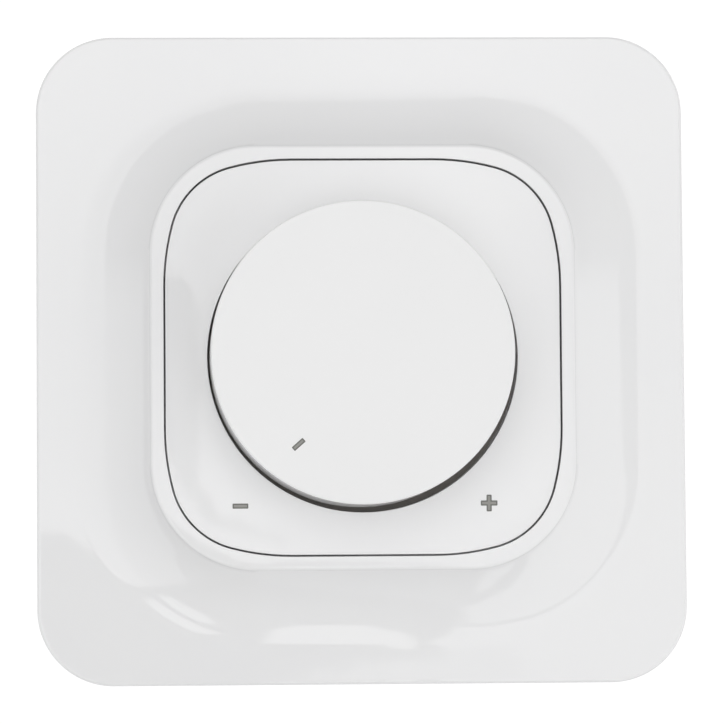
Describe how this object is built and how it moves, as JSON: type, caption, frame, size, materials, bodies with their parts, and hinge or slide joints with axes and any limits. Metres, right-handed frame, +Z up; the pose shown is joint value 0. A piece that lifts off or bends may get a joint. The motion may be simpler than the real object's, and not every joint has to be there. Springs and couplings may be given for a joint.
{
  "type": "dimmer switch",
  "caption": "Square flush wall dimmer: soft-cornered cover frame with a raised collar, centre plate and a turn-and-push knob, on a steel support plate with its housing behind.",
  "frame": {"origin": "middle of the support plate's back face, on the wall plane, between the two box screws", "axes": "+X to the right, +Z up the wall, +Y into the wall; the front faces -Y"},
  "size_m": [0.085, 0.0438, 0.085],
  "materials": {
    "white_plastic": "moulded gloss",
    "knob_plastic": "moulded satin",
    "grey_plastic": "moulded matt",
    "black_plastic": "moulded matt",
    "white_nylon": "moulded satin",
    "resistor_board": "printed matt",
    "board": "lacquered",
    "capacitor_plastic": "moulded gloss",
    "zinc_steel": "zinc plated, passivated",
    "spring_steel": "drawn, bright",
    "nickel_brass": "nickel plated",
    "brass": "stamped",
    "tinned_brass": "tin plated",
    "aluminium": "rolled",
    "enamelled_copper": "enamelled",
    "ferrite": "sintered, coated",
    "fuse_glass": "clear"
  },
  "bodies": {
    "base": {"frame": "white_plastic", "centre_plate": "white_plastic", "nut_washer": "zinc_steel", "fixing_nut": "nickel_brass", "support_plate": "zinc_steel", "housing": "grey_plastic", "housing_cover": "grey_plastic", "housing_screws": "zinc_steel", "potentiometer_bushing": "nickel_brass", "potentiometer_case": "black_plastic", "track_disc": "resistor_board", "switch_body": "black_plastic", "switch_contacts": "brass", "return_spring": "spring_steel", "circuit_board": "board", "claw_pins": "zinc_steel", "terminal_bar_1": "tinned_brass", "terminal_bar_2": "tinned_brass", "terminal_bar_3": "tinned_brass", "fuse_glass": "fuse_glass", "fuse_clips": "tinned_brass", "choke_core": "ferrite", "choke_winding": "enamelled_copper", "heat_sink": "aluminium", "transistor": "black_plastic", "film_capacitor": "capacitor_plastic", "drive_chip": "black_plastic"},
    "plunger": {"push_plunger": "white_nylon", "moving_contact": "brass"},
    "knob": {"knob": "knob_plastic", "knob_clip": "spring_steel", "shaft": "brass"},
    "wiper": {"wiper_rotor": "white_nylon", "wiper_brush": "brass"},
    "claw_left": {"claw_left": "zinc_steel"},
    "claw_right": {"claw_right": "zinc_steel"},
    "claw_screw_left": {"claw_screw_left": "zinc_steel"},
    "claw_screw_right": {"claw_screw_right": "zinc_steel"},
    "terminal_screw_1": {"terminal_screw_1": "zinc_steel"},
    "terminal_cage_1": {"terminal_cage_1": "brass"},
    "terminal_screw_2": {"terminal_screw_2": "zinc_steel"},
    "terminal_cage_2": {"terminal_cage_2": "brass"},
    "terminal_screw_3": {"terminal_screw_3": "zinc_steel"},
    "terminal_cage_3": {"terminal_cage_3": "brass"}
  },
  "joints": [
    {"name": "knob_push", "type": "slide", "parent": "base", "child": "plunger", "axis": [0, 1, 0], "range_m": [0, 0.0015], "stiffness_N_per_m": 2500, "deforming": ["return_spring"]},
    {"name": "knob_turn", "type": "hinge", "parent": "plunger", "child": "knob", "pos_m": [-0.0003, -0.0198, 0], "axis": [0, 1, 0], "range_deg": [0, 288]},
    {"name": "wiper_turn", "type": "hinge", "parent": "base", "child": "wiper", "pos_m": [-0.0003, 0, 0], "axis": [0, 1, 0], "range_deg": [0, 288]},
    {"name": "claw_screw_left_turn", "type": "hinge", "parent": "base", "child": "claw_screw_left", "pos_m": [-0.0264, 0, 0], "axis": [0, 1, 0], "range_deg": [0, 840]},
    {"name": "claw_left_spread", "type": "hinge", "parent": "base", "child": "claw_left", "pos_m": [-0.0226, 0.004, 0], "axis": [0, 0, 1], "range_deg": [0, 18.01]},
    {"name": "claw_screw_right_turn", "type": "hinge", "parent": "base", "child": "claw_screw_right", "pos_m": [0.0264, 0, 0], "axis": [0, 1, 0], "range_deg": [0, 840]},
    {"name": "claw_right_spread", "type": "hinge", "parent": "base", "child": "claw_right", "pos_m": [0.0226, 0.004, 0], "axis": [0, 0, -1], "range_deg": [0, 18.01]},
    {"name": "terminal_cage_1_lift", "type": "slide", "parent": "base", "child": "terminal_cage_1", "axis": [0, 1, 0], "range_m": [0, 0.003]},
    {"name": "terminal_screw_1_turn", "type": "hinge", "parent": "base", "child": "terminal_screw_1", "pos_m": [-0.0086, 0.0236, -0.0163], "axis": [0, -1, 0], "range_deg": [0, 1802]},
    {"name": "terminal_cage_2_lift", "type": "slide", "parent": "base", "child": "terminal_cage_2", "axis": [0, 1, 0], "range_m": [0, 0.003]},
    {"name": "terminal_screw_2_turn", "type": "hinge", "parent": "base", "child": "terminal_screw_2", "pos_m": [0, 0.0236, -0.0163], "axis": [0, -1, 0], "range_deg": [0, 1802]},
    {"name": "terminal_cage_3_lift", "type": "slide", "parent": "base", "child": "terminal_cage_3", "axis": [0, 1, 0], "range_m": [0, 0.003]},
    {"name": "terminal_screw_3_turn", "type": "hinge", "parent": "base", "child": "terminal_screw_3", "pos_m": [0.0086, 0.0236, -0.0163], "axis": [0, -1, 0], "range_deg": [0, 1802]}
  ],
  "couplings": [
    {"joint": "wiper_turn", "follows": "knob_turn", "ratio": 1},
    {"joint": "claw_left_spread", "follows": "claw_screw_left_turn", "ratio": 0.021429},
    {"joint": "claw_right_spread", "follows": "claw_screw_right_turn", "ratio": 0.021429},
    {"joint": "terminal_screw_1_turn", "follows": "terminal_cage_1_lift", "rad_per_m": 10472},
    {"joint": "terminal_screw_2_turn", "follows": "terminal_cage_2_lift", "rad_per_m": 10472},
    {"joint": "terminal_screw_3_turn", "follows": "terminal_cage_3_lift", "rad_per_m": 10472}
  ]
}
